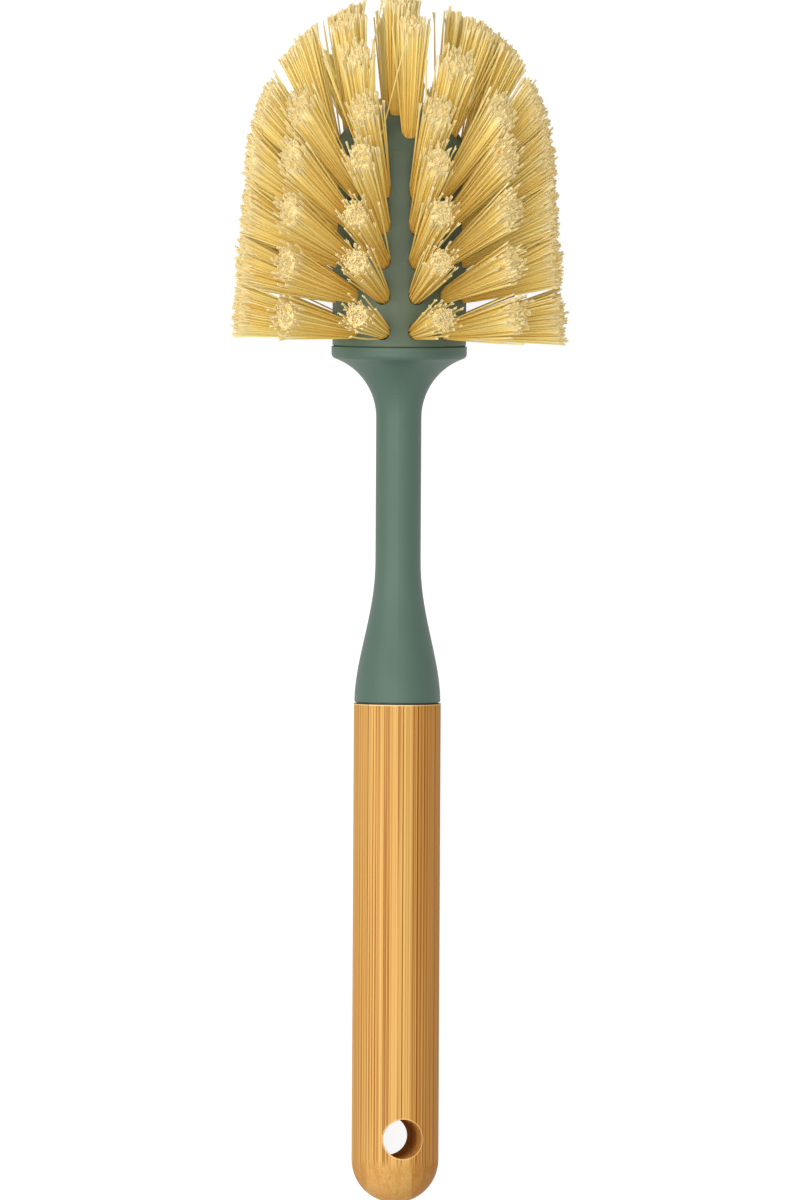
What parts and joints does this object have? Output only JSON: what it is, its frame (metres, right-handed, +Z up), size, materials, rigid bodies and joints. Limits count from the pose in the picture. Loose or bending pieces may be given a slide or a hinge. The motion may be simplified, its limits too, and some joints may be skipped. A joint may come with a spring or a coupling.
{
  "type": "bamboo dish brush",
  "caption": "Round-headed dish brush with a bamboo rod handle, a slim moulded green neck and rows of flared plant-fibre tufts trimmed to a dome.",
  "frame": {"origin": "on the table, at the middle of the overall box, with the brush lying as it comes to rest on its butt and two tufts of the first row", "axes": "+X along the brush from the butt to the head, +Z up"},
  "size_m": [0.2788, 0.0774, 0.0798],
  "materials": {
    "bamboo": "oiled, fine straight grain",
    "green_plastic": "satin moulded",
    "plant_fibre": "stiff natural fibres, cut ends paler",
    "anchor_metal": "flat wire"
  },
  "bodies": {
    "root": {"handle": "bamboo", "neck": "green_plastic", "head_core": "green_plastic", "tuft_row_1": "plant_fibre", "tuft_row_2": "plant_fibre", "tuft_row_3": "plant_fibre", "tuft_row_4": "plant_fibre", "tuft_row_5": "plant_fibre", "tuft_row_6": "plant_fibre", "tuft_row_7": "plant_fibre", "tuft_row_8": "plant_fibre", "tuft_anchors": "anchor_metal"}
  },
  "joints": []
}
